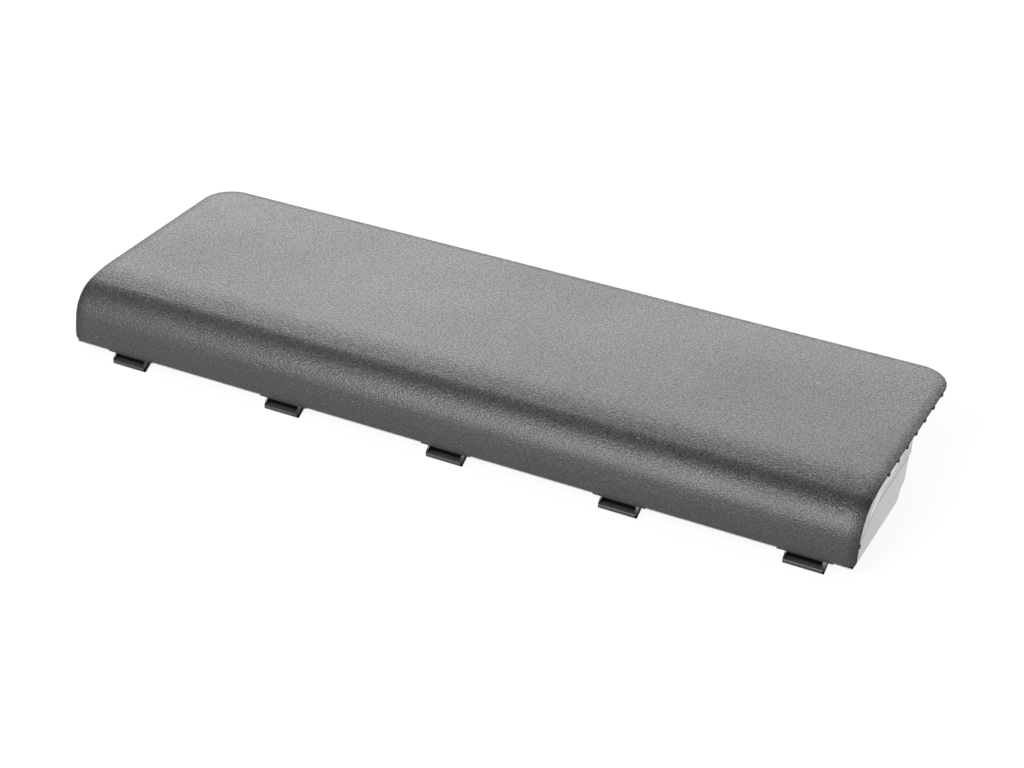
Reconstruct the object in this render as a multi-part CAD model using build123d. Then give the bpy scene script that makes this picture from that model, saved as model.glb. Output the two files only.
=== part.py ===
from build123d import *
import os
from math import cos, radians, sin, sqrt, tan

# Laptop battery: a rolled cover with an overhanging plate, a tray with five front hooks,
# and eight cells with their links, board and connector inside.
# Working places are x from mid length, y back from the cover's front face and z up from
# the cover's front lower edge. The origin is the middle of the box's bottom, under the hooks.

# Cells, which the housing is built round
CELL_COLUMNS = 4
CELL_ROWS = 2
CELL_DIAMETER = 18.3
CELL_LENGTH = 65.0
CELL_GAP = 0.05
ROW_GAP = 0.1
LINK_GAP = 2.0
END_SPACE = 5.15

# Button end of a cell
BUTTON_RADIUS = 3.4
BUTTON_RISE = 0.7

# Walls of the housing
WALL = 1.0
FLOOR = 1.0
SKIN = 1.0
FIT = 0.1
INSET = 0.85
CROWN = 0.3
FRONT_EASE = 0.45
LIP_DROP = 0.4

# Cover
OVERHANG = 40.5
RIM_DEPTH = 0.8
BORDER_WIDTH = 3.2
BORDER_DROP = 0.4
BORDER_RADIUS = 20.0
BORDER_EDGE = 0.2
REAR_CORNER_RADIUS = 11.0
ROLL_DRAFT = 1.6
ROLL_FOOT = 1.94
ROLL_LOWER_RADIUS = 40.8
ROLL_LOWER_TURN = 10.8
ROLL_UPPER_RADIUS = 62.6
ROLL_UPPER_TURN = 11.2
FOOT_CORNER_RADIUS = 2.4
RIB = 0.9
RIB_DEPTH = 2.2
CROSS_RIBS = 9
RIB_EDGE = 6.0
NUB_COUNT = 7
NUB_PITCH = 8.75
NUB_FIRST = 24.3
NUB_WIDTH = 1.0
NUB_HEIGHT = 0.8
NUB_PROUD = 0.4
NUB_BELOW_TOP = 0.85
FRONT_NUB_RISE = 7.4

# Seam between cover and tray
SEAM_ABOVE_AXIS = 2.25
SEAM_KNEE = 1.4
SEAM_SLOPE = 24.5
FLANGE = 1.0
TONGUE = 0.8

# Rear of the tray
BILGE_EASE = 0.22
BILGE_ANGLE = 40.7
BILGE_SLOPE = 53.7
BILGE_RADIUS = 2.0
SHELF_OUT = 3.2
SHELF_RISE = 1.1
SHELF_RADIUS = 0.6
REAR_LEAN = 1.7
REAR_LEDGE = 1.9
CRADLE = 1.2
CRADLE_BELOW_AXIS = 1.5
CRADLE_KEEP_OUT = 4.5

# Front lip and hooks
LIP_FRONT = 0.15
LIP_THICK = 0.35
HOOK_COUNT = 5
HOOK_PITCH = 60.4
HOOK_SHIFT = 3.8
HOOK_WIDTH = 13.1
HOOK_REACH = 1.9
HOOK_DROP = 3.7
HOOK_FOOT = 1.45
HOOK_SOLE = 0.8
HOOK_HEEL = 1.7
HOOK_LEG = 1.7
HOOK_LEG_SET = 0.3
HOOK_NOSE = 0.4
HOOK_CORNER = 0.45
CHEEK_LEFT = 0.6
CHEEK_RIGHT = 1.1
PAD_LEFT = 2.7
PAD_RIGHT = 2.0
PAD_DROP = 0.6

# Links, cards and pads
STRIP = 0.15
STRIP_HALF_WIDTH = 5.0
STRIP_HALF_HEIGHT = 4.0
FOLD_ABOVE_AXIS = 5.0
TAB_HEIGHT = 3.0
TAB_ABOVE_AXIS = 3.5
CARD_CLEAR = 0.1
END_CARD = 0.4
CARD_BESIDE_AXIS = 8.0
CARD_ABOVE_AXIS = 3.6
PAD_ABOVE_AXIS = 7.5
PAD_SLACK = 0.15

# Board and what it carries; a share is a place as a part of the board's length from its middle
BOARD_LENGTH = 170.0
BOARD_THICK = 0.8
BOARD_HEIGHT = 9.8
BOARD_BELOW_AXIS = 1.4
BOARD_OFF_CELL = 0.95
BOARD_POSTS = 4
POST_WIDTH = 2.0
POST_PITCH = 50.0
POST_GRIP = 1.2
POST_CLEAR = 0.05
PART_ABOVE_AXIS = 5.6
CHIP_SIZE = (7.8, 4.4, 1.0)
CHIP_SHARE = -0.153
SWITCH_SIZE = (5.0, 4.0, 1.1)
SWITCH_SHARE = -0.271
SWITCH_PITCH = 7.0
FUSE_SIZE = (9.0, 3.8, 2.0)
FUSE_SHARE = -0.365
RESISTOR_SIZE = (6.4, 3.2, 0.7)
RESISTOR_SHARE = 0.341
CAPACITOR_SIZE = (1.6, 0.9, 0.8)
CAPACITOR_SHARE = -0.082
CAPACITOR_PITCH = 3.0
CAPACITOR_COUNT = 5
THERMISTOR_X = 40.0
THERMISTOR_RADIUS = 1.15
THERMISTOR_LENGTH = 4.0
THERMISTOR_LEG = 0.3
LEAD_RADIUS = 0.8
LEAD_ON_BOARD = 5.0

# Connector and latch catches at the rear
CONNECTOR_X = 20.0
CONNECTOR_WIDTH = 30.0
CONNECTOR_HEIGHT = 5.2
CONNECTOR_OUT = 4.9
CONNECTOR_WAYS = 9
CONNECTOR_PITCH = 3.0
SLOT_WIDTH = 1.0
SLOT_HEIGHT = 3.6
SLOT_DEPTH = 5.6
LEAF = 0.2
LEAF_HEIGHT = 2.8
LEAF_SHORT = 0.8
HOOD_WALL = 0.8
CATCH_X = 98.0
CATCH_WIDTH = 16.0
CATCH_OUT = 4.2
CATCH_POCKET = (10.0, 3.2, 3.2)

# Places that follow from the sizes above
CELL_RADIUS = CELL_DIAMETER / 2
FLOOR_BOTTOM = -LIP_DROP
FLOOR_TOP = FLOOR_BOTTOM + FLOOR
AXIS_Z = FLOOR_TOP + CELL_GAP + CELL_RADIUS
COVER_RISE = AXIS_Z + CELL_RADIUS + CELL_GAP + SKIN + CROWN
ROW_LENGTH = CELL_COLUMNS * CELL_LENGTH + (CELL_COLUMNS - 1) * LINK_GAP
BODY_HALF = ROW_LENGTH / 2 + END_SPACE + WALL
INNER_HALF = BODY_HALF - WALL
COVER_HALF = BODY_HALF + INSET
ROW_PITCH = 2 * CELL_RADIUS + ROW_GAP


def heading(turn):
    """Unit vector along the section at a heading in degrees above +Y."""
    return Vector(cos(radians(turn)), sin(radians(turn)))


def inward(turn):
    """Unit vector to the inside of the roll at a heading."""
    return Vector(sin(radians(turn)), -cos(radians(turn)))


# Headings where the straight foot and the three arcs of the roll meet
HEADINGS = (90 - ROLL_DRAFT, 90 - ROLL_DRAFT - ROLL_LOWER_TURN, ROLL_UPPER_TURN, 0.0)


def rise_of(radius, start, end):
    """Height that an arc of the roll climbs between two headings."""
    return radius * (cos(radians(end)) - cos(radians(start)))


SHOULDER_RISE = (
    COVER_RISE
    - ROLL_FOOT * sin(radians(HEADINGS[0]))
    - rise_of(ROLL_LOWER_RADIUS, HEADINGS[0], HEADINGS[1])
    - rise_of(ROLL_UPPER_RADIUS, HEADINGS[2], HEADINGS[3])
)
SHOULDER_RADIUS = SHOULDER_RISE / rise_of(1.0, HEADINGS[1], HEADINGS[2])
ROLL_RADII = (ROLL_LOWER_RADIUS, SHOULDER_RADIUS, ROLL_UPPER_RADIUS)


def roll_centres():
    """Centres of the three arcs, from the foot up."""
    point = ROLL_FOOT * heading(HEADINGS[0])
    centres = []
    for radius, start, end in zip(ROLL_RADII, HEADINGS, HEADINGS[1:]):
        centre = point + radius * inward(start)
        centres.append(centre)
        point = centre - radius * inward(end)
    return centres


ROLL_CENTRES = roll_centres()
FLAT_START = ROLL_CENTRES[2].X

# The first row stands as far forward as the roll's upper arc lets it
UPPER_ROOM = ROLL_UPPER_RADIUS - SKIN - CELL_GAP - CELL_RADIUS
UPPER_DROP = AXIS_Z - ROLL_CENTRES[2].Y
FIRST_ROW = FLAT_START - sqrt(UPPER_ROOM**2 - UPPER_DROP**2) + FRONT_EASE
LAST_ROW = FIRST_ROW + (CELL_ROWS - 1) * ROW_PITCH
ROWS = [FIRST_ROW + row * ROW_PITCH for row in range(CELL_ROWS)]

# Corners of the tray's stepped rear wall
BILGE_REACH = CELL_RADIUS + CELL_GAP + WALL + BILGE_EASE
BILGE_Y = LAST_ROW + BILGE_REACH * cos(radians(BILGE_ANGLE))
BILGE_Z = AXIS_Z - BILGE_REACH * sin(radians(BILGE_ANGLE))
SHELF_Y = BILGE_Y + SHELF_OUT
SHELF_Z = BILGE_Z + SHELF_RISE
TRAY_REAR = SHELF_Y + REAR_LEAN
BODY_REAR = TRAY_REAR + REAR_LEDGE
COVER_WIDTH = BODY_REAR + OVERHANG
SEAM_Z = AXIS_Z + SEAM_ABOVE_AXIS
SEAM_KNEE_Y = FIRST_ROW + SEAM_KNEE
PLATE_UNDER = COVER_RISE - SKIN
FAR = 4 * COVER_RISE

# Places inside
BOARD_FRONT = LAST_ROW + CELL_RADIUS + BOARD_OFF_CELL
BOARD_BACK = BOARD_FRONT + BOARD_THICK
BOARD_BOTTOM = AXIS_Z - BOARD_BELOW_AXIS
PART_Z = AXIS_Z + PART_ABOVE_AXIS
TAB_Z = AXIS_Z + TAB_ABOVE_AXIS
LEAD_Y = BOARD_BACK + LEAD_RADIUS + FIT
LEAD_Z = TAB_Z + TAB_HEIGHT / 2
CONNECTOR_BOTTOM = SEAM_Z + FLANGE + FIT
CONNECTOR_REAR = BODY_REAR + CONNECTOR_OUT
MID_Y = (COVER_WIDTH - HOOK_REACH) / 2


def block(x, y, z):
    """Box between pairs of limits in x, y and z."""
    size = (x[1] - x[0], y[1] - y[0], z[1] - z[0])
    middle = ((x[0] + x[1]) / 2, (y[0] + y[1]) / 2, (z[0] + z[1]) / 2)
    return Pos(*middle) * Box(*size)


def section(face, start, end):
    """Solid of a YZ face between two places in x."""
    return extrude(Pos(start, 0, 0) * face, amount=end - start, dir=(1, 0, 0))


def outline(*points):
    """Closed YZ face through points given as (y, z)."""
    return make_face(Plane.YZ * Polyline(*points, close=True))


def roll_face(depth, rear, bottom):
    """YZ face inside the cover's curve, offset in by depth, down to bottom and back to rear."""
    along = heading(HEADINGS[0])
    foot_end = ROLL_CENTRES[0] - (ROLL_LOWER_RADIUS - depth) * inward(HEADINGS[0])
    foot = foot_end - along * ((foot_end.Y - bottom) / along.Y)
    edges = [Line(foot, foot_end)]
    for centre, radius, start, end in zip(ROLL_CENTRES, ROLL_RADII, HEADINGS, HEADINGS[1:]):
        points = [centre - (radius - depth) * inward(turn) for turn in (start, (start + end) / 2, end)]
        edges.append(ThreePointArc(*points))
    flat = edges[-1] @ 1
    edges.append(Polyline((flat.X, flat.Y), (rear, flat.Y), (rear, bottom), (foot.X, foot.Y)))
    return make_face(Plane.YZ * Curve(edges))


def below_seam(y_end, ease=0.0):
    """YZ face below the seam, which climbs from the front and then runs level."""
    start = -SKIN
    start_z = SEAM_Z - (SEAM_KNEE_Y - start) * tan(radians(SEAM_SLOPE))
    top = [(start, start_z - ease), (SEAM_KNEE_Y, SEAM_Z - ease), (y_end, SEAM_Z - ease)]
    return outline(*top, (y_end, -FAR), (start, -FAR))


def rear_face(inset=0.0):
    """YZ face in front of the tray's stepped rear wall, moved in by inset."""
    run_out = (BILGE_Z + FAR) / tan(radians(BILGE_SLOPE))
    steps = [(BILGE_Y - run_out, -FAR), (BILGE_Y, BILGE_Z), (SHELF_Y, SHELF_Z), (TRAY_REAR, SEAM_Z)]
    face = outline((-FAR, -FAR), *steps, (TRAY_REAR, FAR), (-FAR, FAR))
    if inset:
        face = offset(face, amount=-inset, kind=Kind.INTERSECTION)
    return face


def tray_inside(ease=0.0):
    """YZ face of the room inside the tray, up to the cover's inner side."""
    room = roll_face(SKIN + FIT + WALL + ease, COVER_WIDTH, FLOOR_TOP + ease)
    return room & rear_face(WALL + ease)


def cover_block():
    """The cover's outer form as one solid, with its rounded corners and softly falling border."""
    solid = section(roll_face(0.0, COVER_WIDTH, 0.0), -COVER_HALF, COVER_HALF)
    corners = solid.edges().filter_by(Axis.Z).group_by(Axis.Y)[-1]
    solid = fillet(corners, REAR_CORNER_RADIUS)
    top = solid.faces().sort_by(Axis.Z)[-1]
    solid = solid.chamfer(BORDER_WIDTH, BORDER_DROP, [furthest_edge(top, Axis.Y)], top)
    top = solid.faces().sort_by(Axis.Z)[-1]
    solid = solid.fillet(BORDER_RADIUS, [furthest_edge(top, Axis.Y)])
    rear = solid.faces().sort_by(Axis.Y)[-1]
    solid = solid.fillet(BORDER_EDGE, [furthest_edge(rear, Axis.Z)])
    return solid - foot_corners()


def furthest_edge(face, axis):
    """Edge of a face that lies furthest along an axis; what is cut there runs on round the border."""
    return face.edges().sort_by(axis)[-1]


def foot_corners():
    """What is cut off the cover's two front lower corners to round them."""
    cuts = []
    for side in (-1, 1):
        middle = side * (COVER_HALF - FOOT_CORNER_RADIUS)
        corner = block(sorted((middle, middle + side * FAR)), (-WALL, SKIN), (-WALL, FOOT_CORNER_RADIUS))
        drum = Pos(middle, 0, FOOT_CORNER_RADIUS) * Rot(90, 0, 0) * Cylinder(FOOT_CORNER_RADIUS, FAR)
        cuts.append(corner - drum)
    return cuts


def overhang_ribs():
    """Stiffening ribs under the plate, across it and along it."""
    low = PLATE_UNDER - RIB_DEPTH
    rear = COVER_WIDTH - RIB_EDGE
    reach = COVER_HALF - REAR_CORNER_RADIUS
    ribs = []
    for step in range(CROSS_RIBS):
        x = -reach + step * 2 * reach / (CROSS_RIBS - 1)
        ribs.append(block((x - RIB / 2, x + RIB / 2), (BODY_REAR, rear), (low, PLATE_UNDER)))
    for y in (BODY_REAR + OVERHANG / 2, rear):
        ribs.append(block((-reach - RIB / 2, reach + RIB / 2), (y - RIB / 2, y + RIB / 2), (low, PLATE_UNDER)))
    return ribs


def end_nubs():
    """Small nubs along the rim at the cover's right end, one of them low on the roll."""
    out = (COVER_HALF - INSET, COVER_HALF + NUB_PROUD)
    height = (COVER_RISE - NUB_BELOW_TOP - NUB_HEIGHT / 2, COVER_RISE - NUB_BELOW_TOP + NUB_HEIGHT / 2)
    nubs = []
    for step in range(NUB_COUNT):
        y = NUB_FIRST + step * NUB_PITCH
        nubs.append(block(out, (y - NUB_WIDTH / 2, y + NUB_WIDTH / 2), height))
    drop = ROLL_CENTRES[0].Y - FRONT_NUB_RISE
    y = ROLL_CENTRES[0].X - sqrt(ROLL_LOWER_RADIUS**2 - drop**2) + NUB_BELOW_TOP
    height = (FRONT_NUB_RISE - NUB_WIDTH / 2, FRONT_NUB_RISE + NUB_WIDTH / 2)
    nubs.append(block(out, (y - NUB_HEIGHT / 2, y + NUB_HEIGHT / 2), height))
    return nubs


def rear_blocks():
    """Connector hood and two latch catches on the cover's rear wall."""
    half = CONNECTOR_WIDTH / 2 + FIT + HOOD_WALL
    span = (CONNECTOR_X - half, CONNECTOR_X + half)
    blocks = [block(span, (BODY_REAR - WALL, CONNECTOR_REAR + FIT), (SEAM_Z, PLATE_UNDER))]
    for side in (-1, 1):
        middle = side * CATCH_X
        span = (middle - CATCH_WIDTH / 2, middle + CATCH_WIDTH / 2)
        blocks.append(block(span, (BODY_REAR - WALL, BODY_REAR + CATCH_OUT), (SEAM_Z, PLATE_UNDER)))
    return blocks


def rear_cuts():
    """Connector window through the hood and the pockets of the catches."""
    half = CONNECTOR_WIDTH / 2 + FIT
    window = block(
        (CONNECTOR_X - half, CONNECTOR_X + half),
        (BODY_REAR - 2 * WALL, CONNECTOR_REAR + WALL),
        (CONNECTOR_BOTTOM - FIT, CONNECTOR_BOTTOM + CONNECTOR_HEIGHT + FIT),
    )
    cuts = [window]
    wide, deep, tall = CATCH_POCKET
    middle_z = (SEAM_Z + PLATE_UNDER) / 2
    for side in (-1, 1):
        middle = side * CATCH_X
        rear = BODY_REAR + CATCH_OUT
        span = (middle - wide / 2, middle + wide / 2)
        cuts.append(block(span, (rear - deep, rear + FIT), (middle_z - tall / 2, middle_z + tall / 2)))
    return cuts


def seam_rebates():
    """Room in the cover's walls for the tray's tongues."""
    inner = INNER_HALF + WALL / 2
    top = SEAM_Z + TONGUE + FIT
    cuts = []
    for side in (-1, 1):
        span = sorted((side * (INNER_HALF - FIT), side * inner))
        cuts.append(block(span, (SEAM_KNEE_Y + WALL, TRAY_REAR - WALL / 2), (SEAM_Z - FIT, top)))
    return cuts


def upper_case():
    """Cover with its rolled front, overhanging plate, end and rear walls."""
    solid = cover_block()
    solid -= block((-2 * COVER_HALF, 2 * COVER_HALF), (BODY_REAR, COVER_WIDTH + WALL), (-FAR, PLATE_UNDER))
    recess = roll_face(RIM_DEPTH, BODY_REAR, -FAR)
    solid -= section(recess, BODY_HALF, COVER_HALF + WALL)
    solid -= section(recess, -COVER_HALF - WALL, -BODY_HALF)
    solid += rear_blocks()
    solid += overhang_ribs()
    solid += end_nubs()
    above_flange = SEAM_Z + FLANGE
    room = roll_face(SKIN, BODY_REAR - WALL, -FAR)
    room &= outline((-FAR, above_flange), (FAR, above_flange), (FAR, FAR), (-FAR, FAR))
    throat = roll_face(SKIN, TRAY_REAR - WALL / 2, -FAR)
    solid -= section(room, -INNER_HALF, INNER_HALF)
    solid -= section(throat, -INNER_HALF, INNER_HALF)
    solid -= section(roll_face(SKIN, COVER_WIDTH, -FAR) & below_seam(COVER_WIDTH), -BODY_HALF, BODY_HALF)
    solid -= seam_rebates()
    solid -= rear_cuts()
    return solid


def hook_face():
    """YZ face of one hook: a leg down from the lip, and a foot forward with a sloping heel."""
    foot_top = HOOK_FOOT - HOOK_DROP
    leg_back = HOOK_LEG_SET + HOOK_LEG
    points = [
        (leg_back, FLOOR_BOTTOM + FIT),
        (leg_back, HOOK_HEEL - HOOK_DROP),
        (HOOK_SOLE - HOOK_REACH, -HOOK_DROP),
        (-HOOK_REACH, -HOOK_DROP),
        (-HOOK_REACH, foot_top),
        (HOOK_LEG_SET, foot_top),
        (HOOK_LEG_SET, FLOOR_BOTTOM + FIT),
    ]
    return outline(*points)


def hook_spans():
    """Ends in x of the five hooks."""
    middles = [HOOK_SHIFT + (step - (HOOK_COUNT - 1) / 2) * HOOK_PITCH for step in range(HOOK_COUNT)]
    return [(middle - HOOK_WIDTH / 2, middle + HOOK_WIDTH / 2) for middle in middles]


def cheek_face():
    """YZ face of the wall that closes each side of a hook, from its leg to its foot's cut corner."""
    foot_top = HOOK_FOOT - HOOK_DROP
    return outline((HOOK_LEG_SET, FLOOR_BOTTOM), (HOOK_CORNER - HOOK_REACH, foot_top), (HOOK_LEG_SET, foot_top))


def hooks():
    """The five hooks, with their corners cut, their noses rounded and their sides closed."""
    pieces = []
    for left, right in hook_spans():
        hook = section(hook_face(), left, right)
        hook = chamfer(hook.edges().filter_by(Axis.Z).group_by(Axis.Y)[0], HOOK_CORNER)
        hook = fillet(hook.faces().sort_by(Axis.Y)[0].edges().filter_by(Axis.X), HOOK_NOSE)
        hook += section(cheek_face(), left, left + CHEEK_LEFT)
        hook += section(cheek_face(), right - CHEEK_RIGHT, right)
        pieces.append(hook)
    return pieces


def front_lip():
    """Lip under the cover's front edge, thickened to a pad at each hook."""
    top = FLOOR_BOTTOM + LIP_THICK
    depth = (LIP_FRONT, SKIN + WALL)
    lip = block((-BODY_HALF, BODY_HALF), depth, (FLOOR_BOTTOM, top))
    for left, right in hook_spans():
        lip += block((left - PAD_LEFT, right + PAD_RIGHT), depth, (-PAD_DROP, top))
    return lip


def cradles():
    """Webs across the tray that hold the rows of cells."""
    top = AXIS_Z - CRADLE_BELOW_AXIS
    face = tray_inside() & outline((-FAR, -FAR), (FAR, -FAR), (FAR, top), (-FAR, top))
    for y in ROWS:
        face -= Plane.YZ * Pos(y, AXIS_Z) * Circle(CELL_RADIUS + CELL_GAP)
        keep = CRADLE_KEEP_OUT
        face -= outline((y - keep, -FAR), (y + keep, -FAR), (y + keep, FAR), (y - keep, FAR))
    webs = []
    for column in range(CELL_COLUMNS):
        for share in (0.25, 0.75):
            x = column_start(column) + share * CELL_LENGTH
            webs.append(section(face, x - CRADLE / 2, x + CRADLE / 2))
    return webs


def board_posts():
    """Grooved posts on the tray's rear wall that the board stands in."""
    front = BOARD_FRONT - POST_CLEAR - RIB / 2
    posts = []
    for step in range(BOARD_POSTS):
        x = (step - (BOARD_POSTS - 1) / 2) * POST_PITCH
        span = (x - POST_WIDTH / 2, x + POST_WIDTH / 2)
        post = block(span, (front, TRAY_REAR), (BILGE_Z, BOARD_BOTTOM + POST_GRIP))
        post &= section(rear_face(WALL / 2), *span)
        slot = (BOARD_FRONT - POST_CLEAR, BOARD_BACK + POST_CLEAR)
        post -= block(span, slot, (BOARD_BOTTOM - POST_CLEAR, COVER_RISE))
        posts.append(post)
    return posts


def seam_tongues():
    """Tongues on the tray's end and rear walls that rise inside the cover's walls."""
    thick = WALL / 2 - FIT
    top = SEAM_Z + TONGUE
    low = SEAM_Z - WALL
    rear = TRAY_REAR - WALL / 2 - FIT
    tongues = [block((-INNER_HALF, INNER_HALF), (rear - thick, rear), (low, top))]
    for side in (-1, 1):
        span = sorted((side * INNER_HALF, side * (INNER_HALF + thick)))
        tongues.append(block(span, (SEAM_KNEE_Y + WALL + FIT, rear), (low, top)))
    return tongues


def lower_case():
    """Tray with stepped rear wall, cradles, board posts, front lip and hooks."""
    outer = roll_face(SKIN + FIT, COVER_WIDTH, FLOOR_BOTTOM) & rear_face() & below_seam(COVER_WIDTH)
    corner = outer.vertices().group_by(Axis.Z)[0].sort_by(Axis.Y)[-1]
    outer = fillet(corner, BILGE_RADIUS)
    for y, z in ((BILGE_Y, BILGE_Z), (SHELF_Y, SHELF_Z)):
        outer = fillet(outer.vertices().sort_by_distance((0, y, z))[0], SHELF_RADIUS)
    solid = section(outer, -BODY_HALF, BODY_HALF)
    solid -= section(tray_inside(), -INNER_HALF, INNER_HALF)
    solid += cradles()
    solid += board_posts()
    solid += seam_tongues()
    solid += front_lip()
    solid += hooks()
    return solid


def column_start(column):
    """Place in x of the base of a column's cells."""
    return -ROW_LENGTH / 2 + column * (CELL_LENGTH + LINK_GAP)


def turned(*points):
    """Solid turned round the X axis through points given as (x, radius)."""
    return revolve(make_face(Polyline(*points, close=True)), axis=Axis.X)


def cell():
    """One sealed cell with its sleeve and its button, base at x = 0."""
    shoulder = CELL_LENGTH - BUTTON_RISE
    return turned(
        (0, 0),
        (0, CELL_RADIUS),
        (shoulder, CELL_RADIUS),
        (shoulder, BUTTON_RADIUS),
        (CELL_LENGTH, BUTTON_RADIUS),
        (CELL_LENGTH, 0),
    )


def strip_tab(x):
    """Rear tail of a strip, from the last row's cell to behind it."""
    return block(x, (LAST_ROW, BOARD_FRONT), (TAB_Z, TAB_Z + TAB_HEIGHT))


def arch(middle, half, low, high):
    """XZ face with straight sides and a half-round top, half millimetres to each side."""
    sides = [(middle - half, low), (middle + half, low), (middle + half, high), (middle - half, high)]
    return make_face(Plane.XZ * Polyline(*sides, close=True)) + Plane.XZ * Pos(middle, high) * Circle(half)


def link(column):
    """Folded strip between two columns, welded to buttons on one side and bases on the other."""
    front = column_start(column) + CELL_LENGTH
    back = column_start(column + 1)
    middle = (front + back) / 2
    half = (back - front) / 2
    low = AXIS_Z - STRIP_HALF_HEIGHT
    high = AXIS_Z + FOLD_ABOVE_AXIS
    leaves = arch(middle, half, low, high) - arch(middle, half - STRIP, low - WALL, high)
    width = LAST_ROW - FIRST_ROW + 2 * STRIP_HALF_WIDTH
    solid = extrude(Pos(0, FIRST_ROW - STRIP_HALF_WIDTH, 0) * leaves, amount=width, dir=(0, 1, 0))
    return solid + strip_tab((front, front + STRIP))


def end_strip(x):
    """Flat strip across the cells at one end of the pack, with a tail for the lead."""
    span = (FIRST_ROW - STRIP_HALF_WIDTH, LAST_ROW + STRIP_HALF_WIDTH)
    plate = block(x, span, (AXIS_Z - STRIP_HALF_HEIGHT, AXIS_Z + STRIP_HALF_HEIGHT))
    tail = block(x, (LAST_ROW, LEAD_Y + LEAD_RADIUS), (TAB_Z, TAB_Z + TAB_HEIGHT))
    return plate + tail


def card_face(above, rear):
    """YZ face of a card or pad that stands on the tray's floor."""
    front = FIRST_ROW - CARD_BESIDE_AXIS
    top = AXIS_Z + above
    return tray_inside(POST_CLEAR) & outline((front, -FAR), (rear, -FAR), (rear, top), (front, top))


def card(column):
    """Insulating card inside the fold of a link."""
    start = column_start(column) + CELL_LENGTH + STRIP + CARD_CLEAR
    end = column_start(column + 1) - STRIP - CARD_CLEAR
    return section(card_face(CARD_ABOVE_AXIS, LAST_ROW + CARD_BESIDE_AXIS), start, end)


def end_piece(side, near, thick, above):
    """Card or pad across the cells at one end, near millimetres out from the row."""
    inner = ROW_LENGTH / 2 + near
    span = sorted((side * inner, side * (inner + thick)))
    return section(card_face(above, LAST_ROW + CARD_BESIDE_AXIS), *span)


def board():
    """Protection board, standing on its long edge behind the last row."""
    half = BOARD_LENGTH / 2
    return block((-half, half), (BOARD_FRONT, BOARD_BACK), (BOARD_BOTTOM, BOARD_BOTTOM + BOARD_HEIGHT))


def on_board(x, size, z=PART_Z):
    """Part on the board's rear face, centred at x, with size as width, height and depth."""
    wide, tall, deep = size
    return block((x - wide / 2, x + wide / 2), (BOARD_BACK, BOARD_BACK + deep), (z - tall / 2, z + tall / 2))


def capacitors():
    """Row of small chip capacitors."""
    first = CAPACITOR_SHARE * BOARD_LENGTH
    places = [first + step * CAPACITOR_PITCH for step in range(CAPACITOR_COUNT)]
    return Compound([on_board(x, CAPACITOR_SIZE) for x in places])


def connector_ways():
    """Places in x of the connector's slots."""
    middle = (CONNECTOR_WAYS - 1) / 2
    return [CONNECTOR_X + (step - middle) * CONNECTOR_PITCH for step in range(CONNECTOR_WAYS)]


def connector_housing():
    """Slotted connector body, from the board out to the hood's mouth."""
    half = CONNECTOR_WIDTH / 2
    span = (CONNECTOR_X - half, CONNECTOR_X + half)
    solid = block(span, (BOARD_BACK, CONNECTOR_REAR), (CONNECTOR_BOTTOM, CONNECTOR_BOTTOM + CONNECTOR_HEIGHT))
    middle_z = CONNECTOR_BOTTOM + CONNECTOR_HEIGHT / 2
    height = (middle_z - SLOT_HEIGHT / 2, middle_z + SLOT_HEIGHT / 2)
    for x in connector_ways():
        slot = (x - SLOT_WIDTH / 2, x + SLOT_WIDTH / 2)
        solid -= block(slot, (CONNECTOR_REAR - SLOT_DEPTH, CONNECTOR_REAR + FIT), height)
    return solid


def connector_contacts():
    """Forked contacts, one in each slot."""
    middle_z = CONNECTOR_BOTTOM + CONNECTOR_HEIGHT / 2
    height = (middle_z - LEAF_HEIGHT / 2, middle_z + LEAF_HEIGHT / 2)
    start = CONNECTOR_REAR - SLOT_DEPTH
    contacts = []
    for x in connector_ways():
        fork = block((x - SLOT_WIDTH / 2, x + SLOT_WIDTH / 2), (start, CONNECTOR_REAR - LEAF_SHORT), height)
        inner = SLOT_WIDTH / 2 - LEAF
        contacts.append(fork - block((x - inner, x + inner), (start + LEAF, CONNECTOR_REAR), height))
    return Compound(contacts)


def thermistor():
    """Bead between the last row and the board, with two legs into the board."""
    y = BOARD_FRONT - THERMISTOR_LEG - THERMISTOR_RADIUS
    solid = Pos(THERMISTOR_X, y, PART_Z + FIT) * Rot(0, 90, 0) * Cylinder(THERMISTOR_RADIUS, THERMISTOR_LENGTH)
    for side in (-1, 1):
        x = THERMISTOR_X + side * THERMISTOR_LENGTH / 4
        leg = (x - THERMISTOR_LEG / 2, x + THERMISTOR_LEG / 2)
        height = (PART_Z + FIT - THERMISTOR_LEG / 2, PART_Z + FIT + THERMISTOR_LEG / 2)
        solid += block(leg, (y, BOARD_FRONT), height)
    return solid


def lead(start, end):
    """Straight lead between an end strip's tail and the board."""
    middle = (start + end) / 2
    return Pos(middle, LEAD_Y, LEAD_Z) * Rot(0, 90, 0) * Cylinder(LEAD_RADIUS, abs(end - start))


def cell_nodes():
    """Every cell, numbered along the front row and then along the rear row."""
    nodes = {}
    number = 0
    for y in ROWS:
        for column in range(CELL_COLUMNS):
            number += 1
            nodes[f"cell_{number}"] = Pos(column_start(column), y, AXIS_Z) * cell()
    return nodes


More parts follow.
